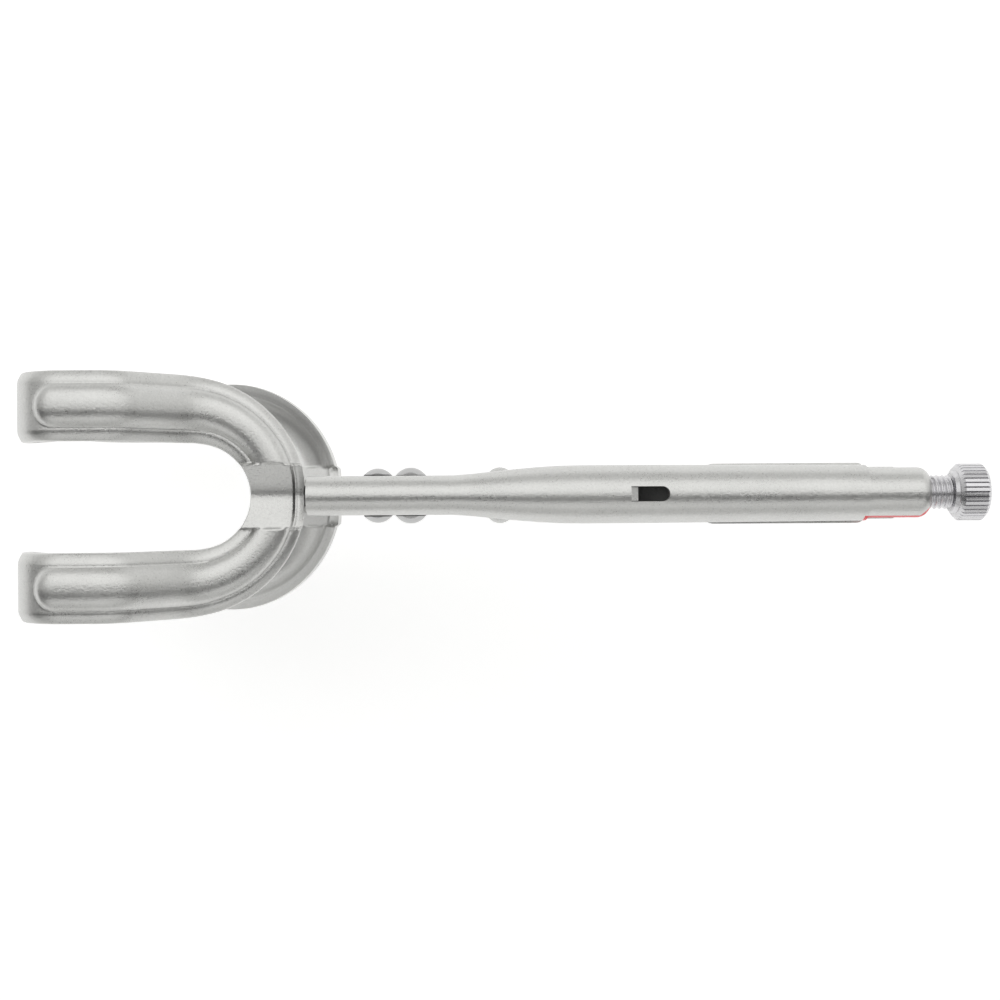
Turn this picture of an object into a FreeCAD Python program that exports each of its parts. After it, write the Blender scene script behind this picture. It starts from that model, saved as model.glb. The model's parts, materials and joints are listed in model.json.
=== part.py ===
import FreeCAD, Part
import Sketcher
import math
import os

# Locking pliers with two arched U-shaped jaws. The origin is the point between the closed jaws, midway
# across their tips, where work is gripped: +X runs back towards the adjusting screw, +Y across the jaws,
# and +Z from the moving jaw towards the fixed jaw. All sizes are in millimetres.

doc = FreeCAD.newDocument("locking_pliers")
sheet = doc.addObject("Spreadsheet::Sheet", "Sizes")

sizes = {
    # jaws
    "jawSheet": 3.0,
    "jawGap": 30.6,
    "armWidth": 19.5,
    "throatDepth": 62.5,
    "saddleDepth": 15.6,
    "lowerSetback": 6.2,
    "lowerGap": 37.0,
    "lowerArmWidth": 17.9,
    "tipNarrowing": 2.0,
    "narrowingHeight": 31.0,
    "tipThickness": 3.0,
    "tipRadius": 4.0,
    "archHeight": 46.0,
    "archTopEnd": 29.0,
    "archFootReach": 47.5,
    "archFootHeight": 27.2,
    "saddleHeight": 20.7,
    "archFrontRadius": 15.5,
    "archTopRadius": 15.0,
    "archFootRadius": 22.0,
    "beadWidth": 11.4,
    "beadHeight": 2.4,
    "beadWall": 2.3,
    "beadTipSetback": 8.5,
    "beadInset": 3.6,
    "jawsApart": 0.2,
    # jaw plates and pivots
    "jawPlate": 6.0,
    "sideGap": 0.3,
    "stemRoot": 3.4,
    "stemTop": 23.9,
    "stemRivetReach": 19.7,
    "stemRivetHeight": 17.0,
    "stemClearance": 0.5,
    "weldLeg": 2.4,
    "pivotReach": 28.8,
    "pivotHeight": 9.0,
    "pivotEyeRadius": 7.0,
    "handlePinReach": 26.6,
    "handlePinDrop": 16.0,
    "handleEyeRadius": 6.5,
    "springEarReach": 12.4,
    "springEarRise": 5.5,
    "springEarRadius": 3.4,
    "springHole": 1.3,
    "earPlate": 2.4,
    "toggleReach": 42.8,
    "toggleRise": 13.6,
    "toggleEyeRadius": 5.6,
    "bearReach": 46.0,
    "bearRise": 12.4,
    "bearRadius": 3.5,
    "toggleClearance": 3.2,
    "pinFit": 0.05,
    # rivets
    "stemRivetShank": 2.5,
    "stemRivetHead": 4.35,
    "pivotShank": 3.0,
    "pivotHead": 4.75,
    "handleRivetShank": 2.75,
    "handleRivetHead": 4.3,
    "toggleRivetShank": 2.5,
    "toggleRivetHead": 4.0,
    "releaseRivetShank": 2.0,
    "releaseRivetHead": 3.2,
    "stemDome": 2.3,
    "pivotDome": 2.7,
    "handleDome": 2.9,
    "lowDomeHeight": 1.3,
    # fixed handle
    "handleGap": 0.8,
    "handleLength": 161.1,
    "handleWall": 2.4,
    "neckLength": 42.0,
    "swellStart": 79.0,
    "swellEnd": 97.0,
    "swellWidth": 16.9,
    "rearWidth": 16.2,
    "neckCrown": 29.0,
    "swellCrown": 30.4,
    "rearCrown": 29.2,
    "earDrop": 8.5,
    "earFront": 8.2,
    "earBack": 8.6,
    "skirtHeight": 13.0,
    "skirtStart": 21.0,
    "slotStart": 92.7,
    "slotLength": 11.0,
    "slotWidth": 4.3,
    "tabThickness": 2.1,
    "tabLength": 6.5,
    "tabHole": 1.2,
    # screw and its block
    "screwHeight": 21.0,
    "screwDiameter": 9.8,
    "screwPitch": 1.5,
    "threadDepth": 0.85,
    "screwFit": 0.08,
    "blockDiameter": 14.6,
    "blockLength": 18.5,
    "blockPlug": 9.0,
    "noseRadius": 3.5,
    "screwOut": 6.4,
    "headDiameter": 16.5,
    "headLength": 9.6,
    "headChamfer": 1.1,
    "headSocket": 7.0,
    "headCollar": 1.0,
    "headCollarDiameter": 12.6,
    "knurlDepth": 0.7,
    "knurlCount": 38.0,
    # moving handle
    "cheekWall": 2.5,
    "gripWidth": 15.4,
    "lipWidth": 17.9,
    "lipThickness": 1.8,
    "lipRadius": 3.0,
    "lipReach": 60.4,
    "lipLength": 48.4,
    "gripReach": 117.0,
    "gripTop": 11.0,
    "gripBack": 9.2,
    "gripBelly": 11.5,
    "cheekEnd": 47.0,
    "gripStart": 66.0,
    "webStart": 12.0,
    # release lever
    "releaseReach": 96.0,
    "releaseHeight": 2.5,
    "releaseEyeRadius": 4.2,
    "releaseArm": 27.0,
    "releaseTail": 27.0,
    "releaseWall": 1.6,
    # spring
    "springRadius": 2.6,
    "springWire": 1.0,
    "springTurns": 22.0,
    "cutterMargin": 1.0,
    "cornerEase": 0.01,
    "stemRootLean": 2.0,
    "stemRootDrop": 7.0,
    "stemChinReach": 4.0,
    "stemChinDrop": 2.0,
    "stemCorner": 1.0,
    "stemShoulder": 1.5,
    "weldStart": 0.5,
    "weldStop": 1.0,
    "leverHeel": 10.0,
    "leverNeckDrop": 16.0,
    "leverRootLean": 3.0,
    "leverRootDrop": 20.0,
    "springEarFoot": 2.0,
    "springEarTail": 4.0,
    "springEarTailRise": 3.0,
    "flareSteps": 6,
    "flareEase": 1.25,
    "earMargin": 2.0,
    "trimMargin": 5.0,
    "mouthLean": 2.0,
    "slotCutMargin": 3.0,
    "tabCorner": 1.0,
    "tabSideGap": 0.4,
    "tabHoleRise": 2.4,
    "plugCrownGap": 0.6,
    "grooveMouthShare": 0.42,
    "grooveRootShare": 0.08,
    "grooveMargin": 0.1,
    "plainShankPitches": 4,
    "collarTaper": 0.6,
    "knurlLead": 0.5,
    "knurlShare": 0.42,
    "knurlMargin": 0.2,
    "toggleCornerRun": 2.0,
    "lipStepRun": 4.0,
    "webCutReach": 20.0,
    "releaseNoseDrop": 2.0,
    "releaseNoseRise": 2.4,
    "releaseBendRun": 8.0,
    "releaseBendDrop": 2.5,
    "releaseTipDrop": 4.5,
    "releaseTipRun": 1.0,
    "releaseTipRise": 3.0,
    "releaseThumbRun": 6.0,
    "releaseThumbRise": 1.5,
    "releaseHollowRun": 9.0,
    "releaseHollowDepth": 12.0,
    "releaseFloor": 1.0,
    "springLoopGap": 0.1,
    "springCoilLead": 1.2,
    "springCoilTail": 6.0,
    "springHookReach": 1.6,
    "springHookDrop": 2.4,
}

for row, (word, number) in enumerate(sizes.items(), start=1):
    sheet.set("A%d" % row, word)
    sheet.set("B%d" % row, str(number))
    sheet.setAlias("B%d" % row, word)
doc.recompute()


class Size:
    """A number and the spreadsheet formula that gives it, carried through sums together."""

    def __init__(self, number, formula):
        self.number = float(number)
        self.formula = formula

    def __add__(self, other):
        other = size(other)
        return Size(self.number + other.number, "(%s + %s)" % (self.formula, other.formula))

    def __sub__(self, other):
        other = size(other)
        return Size(self.number - other.number, "(%s - %s)" % (self.formula, other.formula))

    def __mul__(self, other):
        other = size(other)
        return Size(self.number * other.number, "(%s * %s)" % (self.formula, other.formula))

    def __truediv__(self, other):
        other = size(other)
        return Size(self.number / other.number, "(%s / %s)" % (self.formula, other.formula))

    def __neg__(self):
        return Size(-self.number, "(-1 * %s)" % self.formula)

    def __radd__(self, other):
        return size(other) + self

    def __rsub__(self, other):
        return size(other) - self

    def __rmul__(self, other):
        return size(other) * self

    def __float__(self):
        return self.number


def size(value):
    """Turn a plain number into a Size, and leave a Size as it is."""
    if isinstance(value, Size):
        return value
    return Size(value, repr(float(value)))


def span(across, up):
    """The straight distance of two runs at right angles."""
    across = size(across)
    up = size(up)
    return Size(
        math.hypot(across.number, up.number),
        "hypot(%s; %s)" % (across.formula, up.formula),
    )


class Sheet:
    """The spreadsheet's cells, read by alias."""

    def __getattr__(self, word):
        return Size(sheet.get(word), "Sizes." + word)


s = Sheet()


def planeOf(body, role):
    """One of a body's own origin planes."""
    return [f for f in body.Origin.OriginFeatures if f.Role == role][0]


def newBody(name):
    body = doc.addObject("PartDesign::Body", name)
    body.Label = name
    return body


def newSketch(body, name, role, offset=0.0, originX=0.0, originY=0.0):
    """A sketch flat on one of the body's origin planes, moved along the plane's normal by offset,
    with its own origin moved in the plane."""
    sketch = body.newObject("Sketcher::SketchObject", name)
    sketch.AttachmentSupport = [(planeOf(body, role), "")]
    sketch.MapMode = "FlatFace"
    sketch.AttachmentOffset = FreeCAD.Placement(
        FreeCAD.Vector(float(originX), float(originY), float(offset)), FreeCAD.Rotation()
    )
    for axis, value in (("x", originX), ("y", originY), ("z", offset)):
        if isinstance(value, Size):
            sketch.setExpression("AttachmentOffset.Base." + axis, value.formula)
    return sketch


def bindPoint(sketch, geometry, end, x, y):
    """Hold a point at its two coordinates from the sketch's origin."""
    for kind, value in (("DistanceX", x), ("DistanceY", y)):
        number = sketch.addConstraint(
            Sketcher.Constraint(kind, -1, 1, geometry, end, float(value))
        )
        sketch.setExpression("Constraints[%d]" % number, size(value).formula)


def drawLoop(sketch, corners):
    """Draw a closed outline. A corner is (x, y), with a straight edge to the next corner, or
    (x, y, centre x, centre y, turn), with an arc to it: turn is 1 for anticlockwise, -1 for clockwise."""
    first = sketch.GeometryCount
    starts = []
    for number, corner in enumerate(corners):
        after = corners[(number + 1) % len(corners)]
        here = FreeCAD.Vector(float(corner[0]), float(corner[1]), 0)
        there = FreeCAD.Vector(float(after[0]), float(after[1]), 0)
        if len(corner) == 2:
            sketch.addGeometry(Part.LineSegment(here, there), False)
            starts.append((1, 2))
            continue
        centre = FreeCAD.Vector(float(corner[2]), float(corner[3]), 0)
        begin, finish = (here, there) if corner[4] > 0 else (there, here)
        angles = [math.atan2(p.y - centre.y, p.x - centre.x) for p in (begin, finish)]
        if angles[1] <= angles[0]:
            angles[1] += 2 * math.pi
        circle = Part.Circle(centre, FreeCAD.Vector(0, 0, 1), (here - centre).Length)
        sketch.addGeometry(Part.ArcOfCircle(circle, angles[0], angles[1]), False)
        starts.append((1, 2) if corner[4] > 0 else (2, 1))
    for number, corner in enumerate(corners):
        geometry = first + number
        following = first + (number + 1) % len(corners)
        start, end = starts[number]
        nextStart = starts[(number + 1) % len(corners)][0]
        sketch.addConstraint(Sketcher.Constraint("Coincident", geometry, end, following, nextStart))
        bindPoint(sketch, geometry, start, corner[0], corner[1])
        if len(corner) > 2:
            after = corners[(number + 1) % len(corners)]
            across = abs(float(after[0]) - float(corner[0]))
            along = abs(float(after[1]) - float(corner[1]))
            kind, value = ("DistanceX", corner[2]) if along > across else ("DistanceY", corner[3])
            held = sketch.addConstraint(
                Sketcher.Constraint(kind, -1, 1, geometry, 3, float(value))
            )
            sketch.setExpression("Constraints[%d]" % held, size(value).formula)


def drawCircle(sketch, x, y, radius):
    circle = Part.Circle(FreeCAD.Vector(float(x), float(y), 0), FreeCAD.Vector(0, 0, 1), float(radius))
    geometry = sketch.addGeometry(circle, False)
    bindPoint(sketch, geometry, 3, x, y)
    number = sketch.addConstraint(Sketcher.Constraint("Radius", geometry, float(radius)))
    sketch.setExpression("Constraints[%d]" % number, size(radius).formula)


def pad(body, name, sketch, length, symmetric=True, reverse=False):
    feature = body.newObject("PartDesign::Pad", name)
    feature.Profile = sketch
    feature.SideType = "Symmetric" if symmetric else "One side"
    feature.Reversed = reverse
    feature.setExpression("Length", size(length).formula)
    doc.recompute()
    return feature


def pocket(body, name, sketch, length=None, symmetric=True, reverse=False):
    """Cut a sketch out of the body, right through unless a length is given."""
    before = body.Shape.Volume
    feature = body.newObject("PartDesign::Pocket", name)
    feature.Profile = sketch
    feature.SideType = "Symmetric" if symmetric else "One side"
    feature.Reversed = reverse
    if length is None:
        feature.Type = "ThroughAll"
    else:
        feature.setExpression("Length", size(length).formula)
    doc.recompute()
    if not body.Shape.Volume < before:
        raise ValueError("%s cuts nothing" % name)
    return feature


def loft(body, name, kind, sketches, ruled=False):
    feature = body.newObject(kind, name)
    feature.Profile = sketches[0]
    feature.Sections = sketches[1:]
    feature.Ruled = ruled
    doc.recompute()
    return feature


def revolve(body, name, sketch, axis, kind="PartDesign::Revolution"):
    feature = body.newObject(kind, name)
    feature.Profile = sketch
    feature.ReferenceAxis = (sketch, [axis])
    feature.Angle = 360
    doc.recompute()
    return feature


# places along the tool
frontFace = -s.tipThickness / 2
upperApex = s.throatDepth + s.saddleDepth
handleFront = upperApex + s.handleGap
channelWidth = s.jawPlate + 2 * s.sideGap
neckWidth = channelWidth + 2 * s.handleWall
stemRivetX = handleFront + s.stemRivetReach
pivotX = handleFront + s.pivotReach
pivotZ = s.pivotHeight
handlePinX = pivotX + s.handlePinReach
handlePinZ = pivotZ - s.handlePinDrop
stemEye = span(pivotX - stemRivetX, s.stemRivetHeight - pivotZ) - s.pivotEyeRadius - s.stemClearance
toggleX = handlePinX + s.toggleReach
toggleZ = handlePinZ + s.toggleRise
bearX = toggleX + s.bearReach
bearZ = toggleZ + s.bearRise
handleEnd = handleFront + s.handleLength
blockEnd = handleEnd + s.blockLength
headStart = blockEnd + s.screwOut
headEnd = headStart + s.headLength
screwTip = bearX + s.bearRadius + s.toggleClearance
springEarX = pivotX + s.springEarReach
springEarZ = pivotZ + s.springEarRise
slotStartX = handleFront + s.slotStart


# U-shaped jaws
def roundedPath(points, radii):
    """Straight edges through the points, with a tangent arc of the given radius at each inner point."""
    edges = []
    last = points[0]
    for before, corner, after, radius in zip(points, points[1:], points[2:], radii):
        inward = (before - corner).normalize()
        outward = (after - corner).normalize()
        half = inward.getAngle(outward) / 2
        reach = radius / math.tan(half)
        start = corner + inward * reach
        end = corner + outward * reach
        bisector = (inward + outward).normalize()
        middle = corner + bisector * (radius / math.sin(half) - radius)
        edges.append(Part.LineSegment(last, start).toShape())
        edges.append(Part.Arc(start, middle, end).toShape())
        last = end
    edges.append(Part.LineSegment(last, points[-1]).toShape())
    return Part.Wire(edges)


def archPath(side, rear):
    """The outer side line of a jaw in the XZ plane, from its tip to its rear edge."""
    slope = float((s.archFootHeight - s.saddleHeight) / (upperApex - s.archFootReach))
    rearZ = float(s.archFootHeight) - slope * (rear - float(s.archFootReach))
    height = float(s.jawsApart) / 2
    points = [
        FreeCAD.Vector(float(frontFace), 0, side * height),
        FreeCAD.Vector(float(frontFace), 0, side * float(s.archHeight)),
        FreeCAD.Vector(float(s.archTopEnd), 0, side * float(s.archHeight)),
        FreeCAD.Vector(float(s.archFootReach), 0, side * float(s.archFootHeight)),
        FreeCAD.Vector(rear, 0, side * rearZ),
    ]
    radii = [float(s.archFrontRadius), float(s.archTopRadius), float(s.archFootRadius)]
    return roundedPath(points, radii)


def band(path, near, far, width):
    """The sheet between two offsets of a side line, extruded across the tool."""
    rails = []
    for offset in (near, far):
        rails.append(path.makeOffset2D(offset, openResult=True) if abs(offset) > 1e-9 else path)
    ends = []
    for number in (0, -1):
        corners = []
        for rail in rails:
            points = [v.Point for v in rail.OrderedVertexes]
            corners.append(points[number])
        ends.append(Part.LineSegment(corners[0], corners[1]).toShape())
    outline = Part.Wire(Part.__sortEdges__(rails[0].Edges + rails[1].Edges + ends))
    face = Part.Face(outline)
    face.translate(FreeCAD.Vector(0, -width / 2, 0))
    return face.extrude(FreeCAD.Vector(0, width, 0))


def uPlan(front, innerHalf, outerHalf, innerApex, outerApex, cornerRadius, height):
    """A U seen from above, open towards -X, as a tall solid to trim a band with."""
    inner = FreeCAD.Vector(innerApex - innerHalf, 0, 0)
    outer = FreeCAD.Vector(outerApex - outerHalf, 0, 0)
    points = []
    edges = []
    for sign in (1, -1):
        tip = [
            FreeCAD.Vector(front, sign * innerHalf, 0),
            FreeCAD.Vector(front, sign * outerHalf, 0),
        ]
        edges.append(
            Part.LineSegment(
                FreeCAD.Vector(inner.x, sign * innerHalf, 0),
                FreeCAD.Vector(front + cornerRadius, sign * innerHalf, 0),
            ).toShape()
        )
        edges.append(
            Part.LineSegment(
                FreeCAD.Vector(outer.x, sign * outerHalf, 0),
                FreeCAD.Vector(front + cornerRadius, sign * outerHalf, 0),
            ).toShape()
        )
        edges.append(
            Part.LineSegment(
                FreeCAD.Vector(front, sign * (innerHalf + cornerRadius), 0),
                FreeCAD.Vector(front, sign * (outerHalf - cornerRadius), 0),
            ).toShape()
        )
        for corner, toward in ((tip[0], 1), (tip[1], -1)):
            centre = corner + FreeCAD.Vector(cornerRadius, sign * toward * cornerRadius, 0)
            edges.append(
                Part.Arc(
                    centre + FreeCAD.Vector(-cornerRadius, 0, 0),
                    centre
                    + FreeCAD.Vector(-1, -sign * toward, 0) * (cornerRadius * math.sqrt(0.5)),
                    centre + FreeCAD.Vector(0, -sign * toward * cornerRadius, 0),
                ).toShape()
            )
    for centre, radius in ((inner, innerHalf), (outer, outerHalf)):
        edges.append(
            Part.Arc(
                centre + FreeCAD.Vector(0, radius, 0),
                centre + FreeCAD.Vector(radius, 0, 0),
                centre + FreeCAD.Vector(0, -radius, 0),
            ).toShape()
        )
    outline = Part.Wire(Part.__sortEdges__(edges))
    face = Part.Face(outline)
    face.translate(FreeCAD.Vector(0, 0, -height))
    return face.extrude(FreeCAD.Vector(0, 0, 2 * height))


def makeJaw(name, side, gap, armWidth, setback, narrowing):
    """A U-shaped pressed jaw with a raised bead along its arms, arched away from the grip line."""
    thickness = float(s.jawSheet)
    lift = float(s.beadHeight)
    innerHalf = float(gap) / 2
    outerHalf = innerHalf + float(armWidth)
    innerApex = float(s.throatDepth) + setback
    outerApex = innerApex + float(s.saddleDepth)
    tall = 2 * float(s.archHeight)
    wide = 2 * (outerHalf + float(s.cutterMargin))
    path = archPath(side, outerApex)
    # an offset is positive away from the grip line for either jaw
    probe = path.makeOffset2D(1.0, openResult=True)
    away = 1 if side * (probe.BoundBox.Center.z - path.BoundBox.Center.z) > 0 else -1
    plan = uPlan(float(frontFace) - lift - float(s.cutterMargin), innerHalf, outerHalf, innerApex, outerApex,
                 float(s.tipRadius), tall)
    sheetBand = band(path, 0, -away * thickness, wide)
    jaw = sheetBand.common(plan)
    # the bead follows the middle of the arms and round the bend
    beadHalf = float(s.beadWidth) / 2
    ease = float(s.cornerEase)
    middle = (innerHalf + outerHalf) / 2
    beadFront = float(frontFace) + float(s.beadTipSetback)
    beadPlan = uPlan(beadFront, middle - beadHalf, middle + beadHalf, innerApex + float(s.beadInset),
                     outerApex - float(s.beadInset), beadHalf - ease, tall)
    beadBand = band(path, away * lift, 0, wide)
    bead = beadBand.common(beadPlan)
    hollowHalf = beadHalf - float(s.beadWall)
    hollowPlan = uPlan(beadFront + float(s.beadWall), middle - hollowHalf, middle + hollowHalf,
                       innerApex + float(s.beadInset) + float(s.beadWall),
                       outerApex - float(s.beadInset) - float(s.beadWall), hollowHalf - ease, tall)
    hollow = band(path, -away * (thickness - lift), -away * (thickness + lift), wide).common(hollowPlan)
    jaw = jaw.fuse(bead).removeSplitter()
    jaw = jaw.cut(hollow)
    if narrowing:
        # each arm's inner edge leans outward towards its tip
        tipHalf = innerHalf + float(narrowing)
        lean = float(s.narrowingHeight) * side
        corners = [(-tipHalf, 0), (tipHalf, 0), (innerHalf, lean), (-innerHalf, lean), (-tipHalf, 0)]
        gusset = Part.Face(Part.makePolygon([
            FreeCAD.Vector(float(frontFace) - lift, y, z) for y, z in corners
        ]))
        jaw = jaw.cut(gusset.extrude(FreeCAD.Vector(innerApex / 2, 0, 0)))
    feature = doc.addObject("Part::Feature", name)
    feature.Label = name
    feature.Shape = jaw.Solids[0] if len(jaw.Solids) == 1 else jaw
    feature.Placement = FreeCAD.Placement()
    return feature


upperJaw = makeJaw("upper_jaw", 1, s.jawGap, s.armWidth, 0.0, s.tipNarrowing)
lowerJaw = makeJaw("lower_jaw", -1, s.lowerGap, s.lowerArmWidth, float(s.lowerSetback), None)

# the line under a saddle's sheet: its height at x
saddleSlope = (s.archFootHeight - s.saddleHeight) / (upperApex - s.archFootReach)
slopeAngle = math.atan(float(saddleSlope))
sheetDrop = s.jawSheet / math.cos(slopeAngle)


def saddleLine(x):
    return s.archFootHeight - saddleSlope * (x - s.archFootReach) - sheetDrop


# fixed jaw stem
stem = newBody("fixed_jaw_stem")
stemStart = s.throatDepth + s.stemRoot
outline = newSketch(stem, "StemOutline", "XZ_Plane")
drawLoop(outline, [
    (stemStart, saddleLine(stemStart)),
    (stemStart + s.stemRootLean, saddleLine(stemStart) - s.stemRootDrop),
    (handleFront + s.stemChinReach, s.stemRivetHeight - stemEye - s.stemChinDrop),
    (stemRivetX, s.stemRivetHeight - stemEye, stemRivetX, s.stemRivetHeight, 1),
    (stemRivetX + stemEye, s.stemRivetHeight),
    (stemRivetX + stemEye, s.stemTop - s.stemCorner),
    (stemRivetX + stemEye - s.stemCorner, s.stemTop),
    (handleFront + s.stemShoulder, s.stemTop),
    (upperApex, saddleLine(upperApex)),
])
pad(stem, "StemPlate", outline, s.jawPlate)
hole = newSketch(stem, "StemHole", "XZ_Plane")
drawCircle(hole, stemRivetX, s.stemRivetHeight, s.stemRivetShank)
pocket(stem, "StemRivetHole", hole)


def weldPair(name, side, start, end, plate):
    """Two fillet welds along the corners between a jaw plate and the saddle's sheet."""
    turn = "90 deg + %d * atan(%s)" % (side, saddleSlope.formula)
    beads = []
    for number, across in enumerate((s.jawPlate / 2, -s.jawPlate / 2)):
        bead = doc.addObject("Part::Cylinder", "%s_bead%d" % (name, number))
        bead.Placement = FreeCAD.Placement(
            FreeCAD.Vector(), FreeCAD.Rotation(FreeCAD.Vector(0, 1, 0), 90 + side * math.degrees(slopeAngle))
        )
        bead.setExpression("Placement.Rotation.Angle", turn)
        bead.setExpression("Placement.Base.x", size(start).formula)
        bead.setExpression("Placement.Base.y", across.formula)
        bead.setExpression("Placement.Base.z", (side * saddleLine(start)).formula)
        bead.setExpression("Radius", s.weldLeg.formula)
        bead.setExpression("Height", size(end - start).formula)
        beads.append(bead)
    pair = doc.addObject("Part::MultiFuse", name + "_pair")
    pair.Shapes = beads
    besidePlate = doc.addObject("Part::Cut", name + "_beside_plate")
    besidePlate.Base = pair
    besidePlate.Tool = plate
    # a slab on the sheet's side of the corner leaves only the part of the beads clear of the sheet
    slab = doc.addObject("Part::Box", name + "_slab")
    slab.Placement = FreeCAD.Placement(
        FreeCAD.Vector(), FreeCAD.Rotation(FreeCAD.Vector(0, 1, 0), side * math.degrees(slopeAngle))
    )
    thick = 2 * s.weldLeg
    wide = s.jawPlate + 4 * s.weldLeg
    under = 1 if side < 0 else 0
    slopeRun = span(saddleSlope, 1)
    slab.setExpression("Placement.Rotation.Angle", "%d * atan(%s)" % (side, saddleSlope.formula))
    slab.setExpression("Placement.Base.x", (start + under * thick * saddleSlope / slopeRun).formula)
    slab.setExpression("Placement.Base.y", (-1 * wide / 2).formula)
    slab.setExpression("Placement.Base.z", (side * saddleLine(start) - under * thick / slopeRun).formula)
    slab.setExpression("Length", size(end - start).formula)
    slab.setExpression("Width", wide.formula)
    slab.setExpression("Height", thick.formula)
    weld = doc.addObject("Part::Cut", name)
    weld.Label = name
    weld.Base = besidePlate
    weld.Tool = slab
    doc.recompute()
    return weld


upperWeld = weldPair("upper_weld", 1, stemStart + s.weldStart, upperApex - s.weldStop, stem)


# moving jaw lever
lever = newBody("moving_jaw_lever")
lowerApex = upperApex + s.lowerSetback
leverStart = s.throatDepth + s.lowerSetback + s.stemRoot
outline = newSketch(lever, "LeverOutline", "XZ_Plane")
drawLoop(outline, [
    (leverStart, -saddleLine(leverStart)),
    (lowerApex, -saddleLine(lowerApex)),
    (handlePinX - s.leverHeel, handlePinZ - s.handleEyeRadius),
    (handlePinX, handlePinZ - s.handleEyeRadius, handlePinX, handlePinZ, 1),
    (handlePinX + s.handleEyeRadius, handlePinZ, handlePinX, handlePinZ, 1),
    (handlePinX, handlePinZ + s.handleEyeRadius),
    (pivotX, pivotZ + s.pivotEyeRadius, pivotX, pivotZ, 1),
    (pivotX - s.pivotEyeRadius, pivotZ),
    (lowerApex, pivotZ - s.leverNeckDrop),
    (leverStart + s.leverRootLean, pivotZ - s.leverRootDrop),
])
pad(lever, "LeverPlate", outline, s.jawPlate)
ear = newSketch(lever, "SpringEar", "XZ_Plane")
drawLoop(ear, [
    (springEarX + s.springEarRadius, springEarZ, springEarX, springEarZ, 1),
    (springEarX - s.springEarRadius, springEarZ),
    (pivotX + s.springEarFoot, pivotZ + s.springEarFoot),
    (handlePinX - s.springEarTail, handlePinZ + s.springEarTailRise),
])
pad(lever, "SpringEarPlate", ear, s.earPlate)
holes = newSketch(lever, "LeverHoles", "XZ_Plane")
drawCircle(holes, pivotX, pivotZ, s.pivotShank + s.pinFit)
drawCircle(holes, handlePinX, handlePinZ, s.handleRivetShank + s.pinFit)
drawCircle(holes, springEarX, springEarZ, s.springHole)
pocket(lever, "LeverPinHoles", holes)
lowerWeld = weldPair("lower_weld", -1, leverStart + s.weldStart, lowerApex - s.weldStop, lever)


# fixed handle
handle = newBody("fixed_handle")


def channelSection(body, name, x, width, crown, foot):
    """An inverted U across the tool: a half-round crown on two straight walls."""
    section = newSketch(body, name, "YZ_Plane", x)
    half = width / 2
    shoulder = crown - half
    drawLoop(section, [
        (-half, foot),
        (half, foot),
        (half, shoulder, 0.0, shoulder, 1),
        (-half, shoulder),
    ])
    return section


stations = [(size(0.0), neckWidth, s.neckCrown), (s.neckLength, neckWidth, s.neckCrown)]
flareSteps = int(float(s.flareSteps))
for step in range(1, flareSteps):
    # the neck flares into the swell along an eased curve
    along = step / flareSteps
    eased = math.sin(math.pi * along / 2) ** float(s.flareEase)
    stations.append((
        s.neckLength + (s.swellStart - s.neckLength) * along,
        neckWidth + (s.swellWidth - neckWidth) * eased,
        s.neckCrown + (s.swellCrown - s.neckCrown) * eased,
    ))
stations.append((s.swellStart, s.swellWidth, s.swellCrown))
stations.append((s.swellEnd, s.swellWidth, s.swellCrown))
stations.append((s.handleLength, s.rearWidth, s.rearCrown))
foot = pivotZ - s.earDrop - s.earMargin
outside = []
inside = []
for number, (x, width, crown) in enumerate(stations):
    outside.append(channelSection(handle, "HandleOuter%d" % number, handleFront + x, width, crown, foot))
loft(handle, "HandleShell", "PartDesign::AdditiveLoft", outside, ruled=True)
for number, (x, width, crown) in enumerate(stations):
    inside.append(
        channelSection(
            handle, "HandleInner%d" % number, handleFront + x,
            width - 2 * s.handleWall, crown - s.handleWall, foot - s.cutterMargin,
        )
    )
loft(handle, "HandleHollow", "PartDesign::SubtractiveLoft", inside, ruled=True)

# the walls end at ears round the main pivot in front and at a shallow skirt behind
lower = newSketch(handle, "HandleLowerEdge", "XZ_Plane")
drawLoop(lower, [
    (handleFront - s.trimMargin, foot - s.trimMargin),
    (handleEnd + s.trimMargin, foot - s.trimMargin),
    (handleEnd + s.trimMargin, s.skirtHeight),
    (pivotX + s.skirtStart, s.skirtHeight),
    (pivotX + s.earBack, pivotZ - s.earDrop),
    (pivotX - s.earFront, pivotZ - s.earDrop),
    (handleFront + s.mouthLean, s.skirtHeight),
    (handleFront - s.trimMargin, s.skirtHeight),
])
pocket(handle, "HandleLowerTrim", lower)
slot = newSketch(handle, "BackSlot", "XY_Plane", s.swellCrown - s.handleWall - s.slotCutMargin)
slotRound = slotStartX + s.slotLength - s.slotWidth / 2
drawLoop(slot, [
    (slotStartX, -s.slotWidth / 2),
    (slotRound, -s.slotWidth / 2, slotRound, 0.0, 1),
    (slotRound, s.slotWidth / 2),
    (slotStartX, s.slotWidth / 2),
])
pocket(handle, "BackSlotCut", slot, s.handleWall + 2 * s.slotCutMargin, symmetric=False, reverse=True)
tab = newSketch(handle, "SpringTab", "XZ_Plane")
tabTop = s.swellCrown - s.handleWall / 2
drawLoop(tab, [
    (slotStartX, tabTop - s.tabLength),
    (slotStartX + s.tabThickness, tabTop - s.tabLength),
    (slotStartX + s.tabThickness, tabTop - s.tabCorner),
    (slotStartX, tabTop),
])
pad(handle, "SpringTabPad", tab, s.slotWidth - s.tabSideGap)
tabHoleZ = tabTop - s.tabLength + s.tabHoleRise
tabHole = newSketch(handle, "SpringTabHole", "YZ_Plane", slotStartX - s.cutterMargin)
drawCircle(tabHole, 0.0, tabHoleZ, s.tabHole)
pocket(handle, "SpringTabHoleCut", tabHole, s.tabThickness + 2 * s.cutterMargin, symmetric=False,
       reverse=True)
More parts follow.
